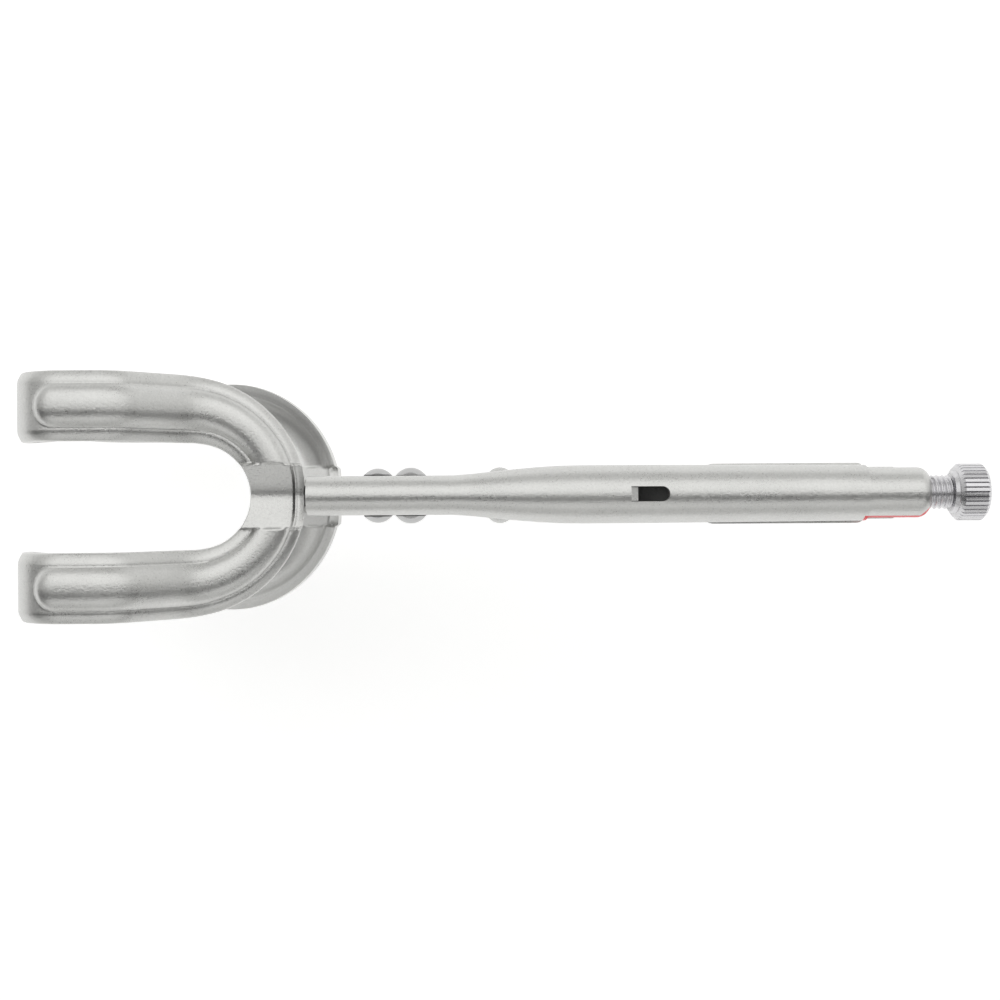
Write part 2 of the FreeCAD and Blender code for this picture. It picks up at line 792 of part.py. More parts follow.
holes = newSketch(handle, "HandleRivetHoles", "XZ_Plane")
drawCircle(holes, stemRivetX, s.stemRivetHeight, s.stemRivetShank)
drawCircle(holes, pivotX, pivotZ, s.pivotShank)
pocket(handle, "HandleRivetHoleCut", holes)


# screw block and adjusting screw
def turned(name, x, z, profile):
    """A turned piece along X: the profile is drawn with its first coordinate along the axis."""
    body = newBody(name)
    sketch = newSketch(body, name + "Profile", "XZ_Plane", 0.0, x, z)
    drawLoop(sketch, profile)
    revolve(body, name + "Turned", sketch, "H_Axis")
    return body, sketch


block = newBody("screw_block")
boreRadius = s.screwDiameter / 2 + s.screwFit
plugHalf = s.rearWidth / 2 - s.handleWall
plug = newSketch(block, "BlockPlug", "YZ_Plane", handleEnd - s.blockPlug)
plugTop = s.rearCrown - s.handleWall - s.plugCrownGap
plugShoulder = plugTop - plugHalf
drawLoop(plug, [
    (-plugHalf, s.screwHeight - s.blockDiameter / 2),
    (plugHalf, s.screwHeight - s.blockDiameter / 2),
    (plugHalf, plugShoulder, 0.0, plugShoulder, 1),
    (-plugHalf, plugShoulder),
])
pad(block, "BlockPlugPad", plug, s.blockPlug, symmetric=False)
nose = newSketch(block, "BlockNose", "XZ_Plane", 0.0, handleEnd, s.screwHeight)
drawLoop(nose, [
    (0.0, 0.0),
    (s.blockLength, 0.0),
    (s.blockLength, s.blockDiameter / 2 - s.noseRadius,
     s.blockLength - s.noseRadius, s.blockDiameter / 2 - s.noseRadius, 1),
    (s.blockLength - s.noseRadius, s.blockDiameter / 2),
    (0.0, s.blockDiameter / 2),
])
revolve(block, "BlockNoseTurned", nose, "H_Axis")
bore = newSketch(block, "BlockBore", "YZ_Plane", blockEnd + s.cutterMargin)
drawCircle(bore, 0.0, s.screwHeight, boreRadius)
pocket(block, "BlockBoreCut", bore)

shankRadius = s.screwDiameter / 2
rootRadius = shankRadius - s.threadDepth
shankLength = headStart + s.headSocket - screwTip
shank, shankProfile = turned("screw_shank", screwTip, s.screwHeight, [
    (0.0, 0.0),
    (shankLength, 0.0),
    (shankLength, rootRadius),
    (shankLength - s.headSocket - s.headCollar, rootRadius),
    (shankLength - s.headSocket - s.headCollar - s.threadDepth, shankRadius),
    (s.threadDepth, shankRadius),
    (0.0, rootRadius),
])
thread = newSketch(shank, "ThreadGroove", "XZ_Plane", 0.0, screwTip, s.screwHeight)
groovePlace = s.screwPitch * 1.5
drawLoop(thread, [
    (groovePlace - s.screwPitch * s.grooveMouthShare, shankRadius + s.grooveMargin),
    (groovePlace - s.screwPitch * s.grooveRootShare, rootRadius),
    (groovePlace + s.screwPitch * s.grooveRootShare, rootRadius),
    (groovePlace + s.screwPitch * s.grooveMouthShare, shankRadius + s.grooveMargin),
])
groove = revolve(shank, "ThreadGrooveCut", thread, "H_Axis", "PartDesign::Groove")
threadPattern = shank.newObject("PartDesign::LinearPattern", "ThreadPattern")
threadPattern.Originals = [groove]
threadPattern.Direction = (shankProfile, ["H_Axis"])
threadRun = shankLength - s.headSocket - s.headCollar - s.plainShankPitches * s.screwPitch
threadCount = int(float(threadRun) / float(s.screwPitch))
threadPattern.setExpression("Length", (threadCount * s.screwPitch).formula)
threadPattern.Occurrences = threadCount + 1
shank.Tip = threadPattern
doc.recompute()

headRadius = s.headDiameter / 2
collarRadius = s.headCollarDiameter / 2
socketRadius = rootRadius + s.pinFit
head, headProfile = turned("knurled_head", headStart, s.screwHeight, [
    (0.0, socketRadius),
    (s.headSocket, socketRadius),
    (s.headSocket, 0.0),
    (s.headLength, 0.0),
    (s.headLength, headRadius - s.headChamfer),
    (s.headLength - s.headChamfer, headRadius),
    (s.headCollar + s.headChamfer, headRadius),
    (s.headCollar, headRadius - s.headChamfer),
    (s.headCollar, collarRadius),
    (0.0, collarRadius - s.collarTaper),
])
knurl = newSketch(head, "KnurlNotch", "YZ_Plane", headStart + s.headCollar - s.knurlLead)
knurlHalf = headRadius * s.knurlShare * math.pi / s.knurlCount
drawLoop(knurl, [
    (-knurlHalf, s.screwHeight + headRadius + s.knurlMargin),
    (0.0, s.screwHeight + headRadius - s.knurlDepth),
    (knurlHalf, s.screwHeight + headRadius + s.knurlMargin),
])
pocket(head, "KnurlNotchCut", knurl, s.headLength, symmetric=False, reverse=True)
notch = head.Tip
knurls = head.newObject("PartDesign::PolarPattern", "Knurls")
knurls.Originals = [notch]
knurls.Axis = (headProfile, ["H_Axis"])
knurls.Angle = 360
knurls.Occurrences = int(float(s.knurlCount))
head.Tip = knurls
doc.recompute()


# moving handle
grip = newBody("moving_handle")
cheekWidth = channelWidth + 2 * s.cheekWall
gripEnd = handlePinX + s.gripReach
pinBottom = handlePinZ - s.handleEyeRadius


def troughSection(body, name, x, width, bottom, top):
    """A U across the tool, open upward: a half-round back under two straight walls."""
    section = newSketch(body, name, "YZ_Plane", x)
    half = width / 2
    shoulder = bottom + half
    drawLoop(section, [
        (half, top),
        (-half, top),
        (-half, shoulder, 0.0, shoulder, 1),
        (half, shoulder),
    ])
    return section


troughTop = toggleZ + s.toggleEyeRadius + s.cutterMargin
troughs = [
    (handlePinX - s.handleEyeRadius - s.cutterMargin, cheekWidth, pinBottom),
    (handlePinX + s.cheekEnd, cheekWidth, -s.gripBack),
    (handlePinX + s.gripStart, s.gripWidth, -s.gripBack),
    (handlePinX + (s.gripStart + s.gripReach) / 2, s.gripWidth, -s.gripBelly),
    (gripEnd, s.gripWidth, -s.gripBack),
]
outside = []
inside = []
for number, (x, width, bottom) in enumerate(troughs):
    outside.append(troughSection(grip, "GripOuter%d" % number, x, width, bottom, troughTop))
loft(grip, "GripShell", "PartDesign::AdditiveLoft", outside, ruled=True)
lips = newSketch(grip, "Lips", "XY_Plane", s.gripTop - s.lipThickness)
lipStart = handlePinX + s.lipReach
lipEnd = lipStart + s.lipLength
lipHalf = s.lipWidth / 2
lipRound = s.lipRadius
drawLoop(lips, [
    (lipStart + lipRound, -lipHalf),
    (lipEnd - lipRound, -lipHalf, lipEnd - lipRound, lipRound - lipHalf, 1),
    (lipEnd, lipRound - lipHalf),
    (lipEnd, lipHalf - lipRound, lipEnd - lipRound, lipHalf - lipRound, 1),
    (lipEnd - lipRound, lipHalf),
    (lipStart + lipRound, lipHalf, lipStart + lipRound, lipHalf - lipRound, 1),
    (lipStart, lipHalf - lipRound),
    (lipStart, lipRound - lipHalf, lipStart + lipRound, lipRound - lipHalf, 1),
])
pad(grip, "LipPad", lips, s.lipThickness, symmetric=False)
for number, (x, width, bottom) in enumerate(troughs):
    inside.append(
        troughSection(
            grip, "GripInner%d" % number, x, width - 2 * s.cheekWall,
            bottom + s.cheekWall, troughTop + s.cutterMargin,
        )
    )
loft(grip, "GripHollow", "PartDesign::SubtractiveLoft", inside, ruled=True)
far = s.gripReach
side = newSketch(grip, "GripTopTrim", "XZ_Plane")
drawLoop(side, [
    (handlePinX - far, pinBottom),
    (handlePinX, pinBottom, handlePinX, handlePinZ, -1),
    (handlePinX, handlePinZ + s.handleEyeRadius),
    (toggleX - s.toggleEyeRadius, toggleZ + s.toggleEyeRadius - s.cutterMargin),
    (toggleX - s.toggleEyeRadius + s.toggleCornerRun, toggleZ + s.toggleEyeRadius),
    (toggleX + s.toggleEyeRadius, toggleZ + s.toggleEyeRadius),
    (handlePinX + s.gripStart - s.lipStepRun, s.gripTop),
    (gripEnd + s.trimMargin, s.gripTop),
    (gripEnd + s.trimMargin, far),
    (handlePinX - far, far),
])
pocket(grip, "GripTopTrimCut", side)
web = newSketch(grip, "GripWebSlot", "XY_Plane")
drawLoop(web, [
    (handlePinX - s.webCutReach, -channelWidth / 2),
    (handlePinX + s.webStart, -channelWidth / 2),
    (handlePinX + s.webStart, channelWidth / 2),
    (handlePinX - s.webCutReach, channelWidth / 2),
])
pocket(grip, "GripWebSlotCut", web)
releaseX = handlePinX + s.releaseReach
releaseZ = s.releaseHeight
holes = newSketch(grip, "GripRivetHoles", "XZ_Plane")
drawCircle(holes, handlePinX, handlePinZ, s.handleRivetShank)
drawCircle(holes, toggleX, toggleZ, s.toggleRivetShank)
drawCircle(holes, releaseX, releaseZ, s.releaseRivetShank)
pocket(grip, "GripRivetHoleCut", holes)


# toggle link
link = newBody("toggle_link")
outline = newSketch(link, "LinkOutline", "XZ_Plane")
linkAngle = math.atan2(float(s.bearRise), float(s.bearReach))
linkLength = math.hypot(float(s.bearRise), float(s.bearReach))
acrossX = s.bearRise / linkLength
acrossZ = s.bearReach / linkLength
drawLoop(outline, [
    (toggleX + acrossX * s.toggleEyeRadius, toggleZ - acrossZ * s.toggleEyeRadius),
    (bearX + acrossX * s.bearRadius, bearZ - acrossZ * s.bearRadius, bearX, bearZ, 1),
    (bearX - acrossX * s.bearRadius, bearZ + acrossZ * s.bearRadius),
    (toggleX - acrossX * s.toggleEyeRadius, toggleZ + acrossZ * s.toggleEyeRadius, toggleX, toggleZ, 1),
])
pad(link, "LinkPlate", outline, s.jawPlate)
hole = newSketch(link, "LinkHole", "XZ_Plane")
drawCircle(hole, toggleX, toggleZ, s.toggleRivetShank + s.pinFit)
pocket(link, "LinkHoleCut", hole)


# release lever
release = newBody("release_lever")
leverWidth = s.gripWidth - 2 * s.cheekWall - 2 * s.sideGap
outline = newSketch(release, "ReleaseOutline", "XZ_Plane")
eye = s.releaseEyeRadius
drawLoop(outline, [
    (releaseX - s.releaseArm, releaseZ - s.releaseNoseDrop),
    (releaseX, releaseZ - eye),
    (releaseX + s.releaseTail - s.releaseBendRun, releaseZ - s.releaseBendDrop),
    (releaseX + s.releaseTail, releaseZ - s.releaseTipDrop),
    (releaseX + s.releaseTail + s.releaseTipRun, releaseZ - s.releaseTipRise),
    (releaseX + s.releaseTail - s.releaseThumbRun, releaseZ + s.releaseThumbRise),
    (releaseX, releaseZ + eye),
    (releaseX - s.releaseArm, releaseZ + s.releaseNoseRise),
])
pad(release, "ReleasePlate", outline, leverWidth)
hollow = newSketch(release, "ReleaseHollow", "XY_Plane", releaseZ - s.releaseFloor)
drawLoop(hollow, [
    (releaseX - s.releaseArm + s.releaseWall, s.releaseWall - leverWidth / 2),
    (releaseX + s.releaseTail - s.releaseHollowRun, s.releaseWall - leverWidth / 2),
    (releaseX + s.releaseTail - s.releaseHollowRun, leverWidth / 2 - s.releaseWall),
    (releaseX - s.releaseArm + s.releaseWall, leverWidth / 2 - s.releaseWall),
])
pocket(release, "ReleaseHollowCut", hollow, s.releaseHollowDepth, symmetric=False, reverse=True)
hole = newSketch(release, "ReleaseHole", "XZ_Plane")
drawCircle(hole, releaseX, releaseZ, s.releaseRivetShank + s.pinFit)
pocket(release, "ReleaseHoleCut", hole)


# rivets
def rivet(name, x, z, shankRadius, headRadius, grippedWidth, dome):
    """A rivet across the tool with a domed head on each side of the walls it grips."""
    body = newBody(name)
    profile = newSketch(body, name + "Profile", "YZ_Plane", x, 0.0, z)
    half = grippedWidth / 2
    ballRadius = (headRadius * headRadius + dome * dome) / (2 * dome)
    tip = half + dome
    centre = tip - ballRadius
    drawLoop(profile, [
        (-tip, 0.0),
        (tip, 0.0, centre, 0.0, 1),
        (half, headRadius),
        (half, shankRadius),
        (-half, shankRadius),
        (-half, headRadius, -centre, 0.0, 1),
    ])
    revolve(body, name + "Turned", profile, "H_Axis")
    return body


stemRivet = rivet("stem_rivet", stemRivetX, s.stemRivetHeight, s.stemRivetShank, s.stemRivetHead,
                  neckWidth, s.stemDome)
pivotRivet = rivet("main_pivot_rivet", pivotX, pivotZ, s.pivotShank, s.pivotHead, neckWidth, s.pivotDome)
handleRivet = rivet("handle_rivet", handlePinX, handlePinZ, s.handleRivetShank, s.handleRivetHead,
                    cheekWidth, s.handleDome)
toggleRivet = rivet("toggle_rivet", toggleX, toggleZ, s.toggleRivetShank, s.toggleRivetHead,
                    cheekWidth, s.lowDomeHeight)
releaseRivet = rivet("release_rivet", releaseX, releaseZ, s.releaseRivetShank, s.releaseRivetHead,
                     s.gripWidth, s.lowDomeHeight)


# extension spring
def makeSpring(name):
    """A coil between the lever's ear and the tab under the back slot, with a hook at each end."""
    wire = float(s.springWire) / 2
    radius = float(s.springRadius)
    ring = float(s.earPlate + s.springLoopGap)
    ear = FreeCAD.Vector(float(springEarX), 0, float(springEarZ))
    tabPoint = FreeCAD.Vector(float(slotStartX), 0, float(tabHoleZ))
    direction = (tabPoint - ear).normalize()
    stretch = (tabPoint - ear).Length
    coilStart = 2 * ring + float(s.springCoilLead)
    coilEnd = stretch - float(s.springCoilTail)
    pitch = (coilEnd - coilStart) / float(s.springTurns)
    helix = Part.makeHelix(pitch, coilEnd - coilStart, radius)
    section = Part.Wire(Part.makeCircle(wire, FreeCAD.Vector(radius, 0, 0), FreeCAD.Vector(0, 1, 0)).Edges)
    coil = Part.Wire(helix.Edges).makePipeShell([section], True, True)
    coil.translate(FreeCAD.Vector(0, 0, coilStart))
    up = FreeCAD.Vector(0, 0, 1)
    pieces = [coil]
    for height in (coilStart, coilEnd):
        pieces.append(Part.makeCylinder(wire, radius, FreeCAD.Vector(0, 0, height), FreeCAD.Vector(1, 0, 0)))
        pieces.append(Part.makeSphere(wire, FreeCAD.Vector(0, 0, height)))
    pieces.append(Part.makeCylinder(wire, coilStart - 2 * ring, FreeCAD.Vector(0, 0, 2 * ring), up))
    pieces.append(Part.makeTorus(ring, wire, FreeCAD.Vector(0, 0, ring), FreeCAD.Vector(1, 0, 0)))
    reach = stretch + float(s.tabThickness + s.springHookReach)
    pieces.append(Part.makeCylinder(wire, reach - coilEnd, FreeCAD.Vector(0, 0, coilEnd), up))
    pieces.append(Part.makeSphere(wire, FreeCAD.Vector(0, 0, reach)))
    across = FreeCAD.Vector(1, 0, 0)
    pieces.append(Part.makeCylinder(wire, float(s.springHookDrop), FreeCAD.Vector(0, 0, reach), across))
    spring = pieces[0].multiFuse(pieces[1:])
    turn = FreeCAD.Rotation(FreeCAD.Vector(0, 0, 1), direction)
    feature = doc.addObject("Part::Feature", name)
    feature.Label = name
    feature.Shape = spring
    feature.Placement = FreeCAD.Placement(ear, turn)
    return feature


spring = makeSpring("extension_spring")


# write the pieces
doc.recompute()
pieces = [
    handle, upperJaw, stem, upperWeld, stemRivet, pivotRivet, block, shank, head, spring,
    lowerJaw, lever, lowerWeld, handleRivet, grip, link, toggleRivet, release, releaseRivet,
]
for item in doc.Objects:
    for state in item.State:
        if state in ("Invalid", "Error"):
            raise ValueError("%s failed to build" % item.Name)
for piece in pieces:
    if piece.Shape.isNull() or not piece.Shape.isValid() or not piece.Shape.Solids:
        raise ValueError("%s has no valid solid" % piece.Label)
os.makedirs("parts", exist_ok=True)
for piece in pieces:
    piece.Shape.exportStep("parts/%s.step" % piece.Label)
    box = piece.Shape.BoundBox
    print("%-18s solids %d volume %9.1f  x %.1f..%.1f  y %.1f..%.1f  z %.1f..%.1f" % (
        piece.Label, len(piece.Shape.Solids), piece.Shape.Volume,
        box.XMin, box.XMax, box.YMin, box.YMax, box.ZMin, box.ZMax,
    ))
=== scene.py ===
import bpy
import json
import math
import numpy as np
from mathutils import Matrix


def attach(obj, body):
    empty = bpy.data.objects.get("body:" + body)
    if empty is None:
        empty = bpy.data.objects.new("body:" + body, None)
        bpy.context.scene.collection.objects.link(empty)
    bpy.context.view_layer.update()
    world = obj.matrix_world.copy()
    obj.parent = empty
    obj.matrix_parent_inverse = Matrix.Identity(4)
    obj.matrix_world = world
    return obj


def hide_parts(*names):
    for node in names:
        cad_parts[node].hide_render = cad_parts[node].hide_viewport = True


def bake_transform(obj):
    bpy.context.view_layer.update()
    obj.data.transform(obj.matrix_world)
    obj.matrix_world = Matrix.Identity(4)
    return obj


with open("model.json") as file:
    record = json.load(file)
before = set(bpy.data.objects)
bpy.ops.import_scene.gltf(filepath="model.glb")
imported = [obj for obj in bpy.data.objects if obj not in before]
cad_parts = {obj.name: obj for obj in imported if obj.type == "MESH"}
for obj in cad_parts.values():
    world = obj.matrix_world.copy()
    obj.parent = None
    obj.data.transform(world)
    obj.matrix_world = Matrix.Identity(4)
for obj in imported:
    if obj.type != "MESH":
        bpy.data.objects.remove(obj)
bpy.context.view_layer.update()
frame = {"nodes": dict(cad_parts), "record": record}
nodes = frame["nodes"]
print("frame loaded")


def makePiece(name, points, faces, material, body, smooth=True, sharpAngle=35.0):
    mesh = bpy.data.meshes.new(name)
    mesh.from_pydata(points.tolist(), [], faces)
    mesh.update()
    if smooth:
        mesh.polygons.foreach_set("use_smooth", [True] * len(mesh.polygons))
        mesh.set_sharp_from_angle(angle=math.radians(sharpAngle))
    piece = bpy.data.objects.new(name, mesh)
    bpy.context.scene.collection.objects.link(piece)
    mesh.materials.append(material)
    if body:
        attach(piece, body)
    return piece


# a closed tube over a rows x columns grid of points: quads round each row, and a face on each end
def tubeFaces(rows, columns):
    i, j = np.meshgrid(np.arange(rows - 1), np.arange(columns), indexing="ij")
    a = i * columns + j
    b = i * columns + (j + 1) % columns
    faces = np.stack([a, b, b + columns, a + columns], axis=-1).reshape(-1, 4).tolist()
    faces.append(list(range(columns))[::-1])
    faces.append([(rows - 1) * columns + k for k in range(columns)])
    return faces


def smoothStep(x):
    x = np.clip(x, 0.0, 1.0)
    return x * x * (3 - 2 * x)


# one maths node, fed by sockets or plain numbers
def mathNode(tree, operation, *operands):
    node = tree.nodes.new("ShaderNodeMath")
    node.operation = operation
    for number, operand in enumerate(operands):
        if isinstance(operand, (int, float)):
            node.inputs[number].default_value = operand
        else:
            tree.links.new(operand, node.inputs[number])
    return node.outputs[0]


grainLook = {"detail": 4.0, "roughness": 0.65, "cloudScale": 90.0, "cloudDetail": 3.0,
             "cloudFrom": (0.3, 0.7), "cloudTo": (0.96, 1.04), "bumpDistance": 0.0002}


# fine blasted grain: small speckle in colour, roughness and height
def grainGroup():
    group = bpy.data.node_groups.new("blastedGrain", "ShaderNodeTree")
    sockets = {
        "INPUT": [("Scale", "Float"), ("Amount", "Float"), ("Tint", "Color"), ("Base Roughness", "Float")],
        "OUTPUT": [("Color", "Color"), ("Roughness", "Float"), ("Height", "Float")],
    }
    for direction, rows in sockets.items():
        for title, kind in rows:
            group.interface.new_socket(title, in_out=direction, socket_type="NodeSocket" + kind)
    inside = group.nodes
    link = group.links.new
    entry = inside.new("NodeGroupInput")
    leave = inside.new("NodeGroupOutput")
    coords = inside.new("ShaderNodeTexCoord")
    fine = inside.new("ShaderNodeTexNoise")
    fine.inputs["Detail"].default_value = grainLook["detail"]
    fine.inputs["Roughness"].default_value = grainLook["roughness"]
    broad = inside.new("ShaderNodeTexNoise")
    broad.inputs["Scale"].default_value = grainLook["cloudScale"]
    broad.inputs["Detail"].default_value = grainLook["cloudDetail"]
    link(coords.outputs["Object"], fine.inputs["Vector"])
    link(coords.outputs["Object"], broad.inputs["Vector"])
    link(entry.outputs["Scale"], fine.inputs["Scale"])
    # shade = (1 + amount * (fine - 0.5)) * cloud, where the broad cloud stays close to 1
    centred = mathNode(group, "SUBTRACT", fine.outputs["Fac"], 0.5)
    speckle = mathNode(group, "MULTIPLY_ADD", centred, entry.outputs["Amount"], 1.0)
    cloud = inside.new("ShaderNodeMapRange")
    for side, (low, high) in (("From", grainLook["cloudFrom"]), ("To", grainLook["cloudTo"])):
        cloud.inputs[side + " Min"].default_value = low
        cloud.inputs[side + " Max"].default_value = high
    link(broad.outputs["Fac"], cloud.inputs["Value"])
    shade = mathNode(group, "MULTIPLY", speckle, cloud.outputs["Result"])
    tinted = inside.new("ShaderNodeVectorMath")
    tinted.operation = "SCALE"
    link(entry.outputs["Tint"], tinted.inputs[0])
    link(shade, tinted.inputs["Scale"])
    link(tinted.outputs["Vector"], leave.inputs["Color"])
    rough = mathNode(group, "MULTIPLY", entry.outputs["Base Roughness"], shade)
    link(rough, leave.inputs["Roughness"])
    link(fine.outputs["Fac"], leave.inputs["Height"])
    return group


grain = grainGroup()


# one metal finish: a Principled shader fed by the grain group, with bump
def metalFinish(name, look):
    material = bpy.data.materials.new(name)
    material.use_nodes = True
    tree = material.node_tree
    shader = tree.nodes["Principled BSDF"]
    shader.inputs["Metallic"].default_value = look["metallic"]
    shader.inputs["Specular IOR Level"].default_value = 0.5
    texture = tree.nodes.new("ShaderNodeGroup")
    texture.node_tree = grain
    texture.inputs["Scale"].default_value = look["grainScale"]
    texture.inputs["Amount"].default_value = look["grain"]
    texture.inputs["Tint"].default_value = (*look["colour"], 1.0)
    texture.inputs["Base Roughness"].default_value = look["roughness"]
    bump = tree.nodes.new("ShaderNodeBump")
    bump.inputs["Strength"].default_value = look["bump"]
    bump.inputs["Distance"].default_value = grainLook["bumpDistance"]
    tree.links.new(texture.outputs["Height"], bump.inputs["Height"])
    tree.links.new(texture.outputs["Color"], shader.inputs["Base Color"])
    tree.links.new(texture.outputs["Roughness"], shader.inputs["Roughness"])
    tree.links.new(bump.outputs["Normal"], shader.inputs["Normal"])
    return material


# each finish: colour, metallic, roughness, grain scale, grain, bump
finishTable = {
    "satinNickel": ((0.59, 0.59, 0.578), 0.95, 0.29, 1500.0, 0.38, 0.42),
    # painted light: a paler copy of the satin nickel for the moving jaw, brightening it where it lies in
    # the upper jaw's shade
    "satinNickelPaintedBright": ((0.68, 0.68, 0.67), 0.85, 0.36, 1500.0, 0.30, 0.36),
    "plateSteel": ((0.58, 0.58, 0.57), 0.95, 0.36, 1500.0, 0.30, 0.28),
    "weldMetal": ((0.50, 0.50, 0.485), 0.9, 0.42, 900.0, 0.35, 0.7),
    "polishedRivet": ((0.47, 0.47, 0.47), 1.0, 0.12, 2200.0, 0.12, 0.06),
    "satinRivet": ((0.55, 0.55, 0.54), 0.95, 0.26, 1900.0, 0.25, 0.2),
    "brightZinc": ((0.64, 0.635, 0.65), 0.95, 0.27, 2000.0, 0.2, 0.15),
    "blackOxide": ((0.14, 0.14, 0.14), 0.7, 0.45, 1500.0, 0.4, 0.4),
    "springSteel": ((0.24, 0.24, 0.25), 1.0, 0.32, 2200.0, 0.2, 0.15),
}
finishColumns = ("colour", "metallic", "roughness", "grainScale", "grain", "bump")
finish = {name: metalFinish(name, dict(zip(finishColumns, row))) for name, row in finishTable.items()}


# one where every test holds: each row is a socket, an operation and a bound
def insideTests(tree, tests):
    inside = 1.0
    for source, operation, bound in tests:
        inside = mathNode(tree, "MULTIPLY", mathNode(tree, operation, source, bound), inside)
    return inside


def objectPlace(tree):
    coords = tree.nodes.new("ShaderNodeTexCoord")
    place = tree.nodes.new("ShaderNodeSeparateXYZ")
    tree.links.new(coords.outputs["Object"], place.inputs[0])
    return place.outputs


mixSocket = {"share": 0, "under": 6, "over": 7, "result": 2}


# lays a second colour over a finish wherever the mask is one, and takes the metal away there
def overlay(tree, mask, colour):
    shader = tree.nodes["Principled BSDF"]
    under = shader.inputs["Base Color"].links[0].from_socket
    paint = tree.nodes.new("ShaderNodeMix")
    paint.data_type = "RGBA"
    paint.inputs[mixSocket["over"]].default_value = (*colour, 1.0)
    tree.links.new(mask, paint.inputs[mixSocket["share"]])
    tree.links.new(under, paint.inputs[mixSocket["under"]])
    tree.links.new(paint.outputs[mixSocket["result"]], shader.inputs["Base Color"])
    metal = shader.inputs["Metallic"].default_value
    bare = mathNode(tree, "MULTIPLY_ADD", mask, -metal, metal)
    tree.links.new(bare, shader.inputs["Metallic"])


# a red stripe on the -Y side of the closed end; its plane follows the nose inward from noseX on
label = {"fromX": 0.2390, "fromZ": 0.0150, "toZ": 0.0285, "belowY": -0.0067, "noseX": 0.2553,
         "colour": (0.80, 0.035, 0.045)}


def labelledFinish():
    material = finish["satinNickel"].copy()
    material.name = "labelledNickel"
    tree = material.node_tree
    place = objectPlace(tree)
    past = mathNode(tree, "SUBTRACT", place["X"], label["noseX"])
    inward = mathNode(tree, "MAXIMUM", past, 0.0)
    side = mathNode(tree, "SUBTRACT", place["Y"], inward)
    mask = insideTests(tree, [
        (place["X"], "GREATER_THAN", label["fromX"]), (place["Z"], "GREATER_THAN", label["fromZ"]),
        (place["Z"], "LESS_THAN", label["toZ"]), (side, "LESS_THAN", label["belowY"]),
    ])
    overlay(tree, mask, label["colour"])
    return material


# painted shade: a near-black colour laid where two pieces meet, standing in for the shadow in the gap at
# the jaw stem and at each rivet head's foot
paintedShade = {"colour": (0.012, 0.012, 0.012), "stemFrom": 0.0772, "stemTo": 0.0802, "rivetFootShade": 0.0061}


def paintedShadeStem():
    material = finish["plateSteel"].copy()
    material.name = "plateSteelPaintedShade"
    tree = material.node_tree
    place = objectPlace(tree)
    # painted shade: a near-black band across the stem where the handle's mouth shades it
    mask = insideTests(tree, [
        (place["X"], "GREATER_THAN", paintedShade["stemFrom"]), (place["X"], "LESS_THAN", paintedShade["stemTo"]),
    ])
    overlay(tree, mask, paintedShade["colour"])
    return material


def paintedShadeRivet():
    material = finish["polishedRivet"].copy()
    material.name = "polishedRivetPaintedShade"
    tree = material.node_tree
    # painted shade: a near-black band round each rivet within a short way of its middle, the shadow at the
    # head's foot against the handle
    across = mathNode(tree, "ABSOLUTE", objectPlace(tree)["Y"])
    mask = insideTests(tree, [(across, "LESS_THAN", paintedShade["rivetFootShade"])])
    overlay(tree, mask, paintedShade["colour"])
    return material


labelled = labelledFinish()
slotFinish = {
    "satin_nickel": "satinNickel", "plate_steel": "plateSteel", "weld_metal": "weldMetal",
    "polished_rivet": "polishedRivet", "satin_rivet": "satinRivet", "bright_zinc": "brightZinc",
    "spring_steel": "springSteel", "black_oxide": "blackOxide",
}
for part in frame["record"]["subparts"]:
    node = nodes[part["node"]]
    node.data.materials.clear()
    node.data.materials.append(finish[slotFinish[part["material_slot"]]])
for name in ("fixed_handle", "screw_block"):
    nodes[name].data.materials[0] = labelled
nodes["fixed_jaw_stem"].data.materials[0] = paintedShadeStem()
rivetFootShade = paintedShadeRivet()
for name in ("stem_rivet", "main_pivot_rivet"):
    nodes[name].data.materials[0] = rivetFootShade
print("materials made")


jaw = {
    "sheet": 0.003, "throat": 0.0625, "saddle": 0.0156,
    "upper": {"side": 1, "gap": 0.0306, "arm": 0.0195, "setback": 0.0, "narrowing": 0.0020,
              "finish": "satinNickel"},
    # the moving jaw takes the paler nickel copy, painted light against the shade it lies in
    "lower": {"side": -1, "gap": 0.0370, "arm": 0.0179, "setback": 0.0062, "narrowing": 0.0,
              "finish": "satinNickelPaintedBright"},
    "narrowingRun": 0.031,
    "front": -0.0015, "height": 0.046, "topEnd": 0.029, "footReach": 0.0475, "footHeight": 0.0272,
    "saddleHeight": 0.0207, "radii": (0.0155, 0.015, 0.022), "apart": 0.0001,
    "bead": 0.0114, "lift": 0.0024, "beadTip": 0.0085, "armRows": 150, "bendRows": 260, "columns": 60,
    "beadShare": 0.30, "beadSquare": 2.4, "beadFlat": 0.75, "rearTrim": 0.0004, "trimWidth": 0.006,
    "trimFrom": 0.9, "saddleHalf": 0.009, "saddleStep": 0.07, "saddleFrom": 0.006,
    "valleyRise": 0.0036, "valleyDrop": 0.0010, "valleyRound": 0.28,
    "crease": 0.0005, "creaseAt": 0.83, "creaseWidth": 0.03,
    "roll": 0.0013, "rollStart": 0.34, "rollPower": 1.6, "rollRun": 0.012,
    "rim": 0.012, "rimSteps": 7, "arcSteps": 40, "runOut": 0.01, "tiny": 1e-6, "sharpAngle": 50.0,
}


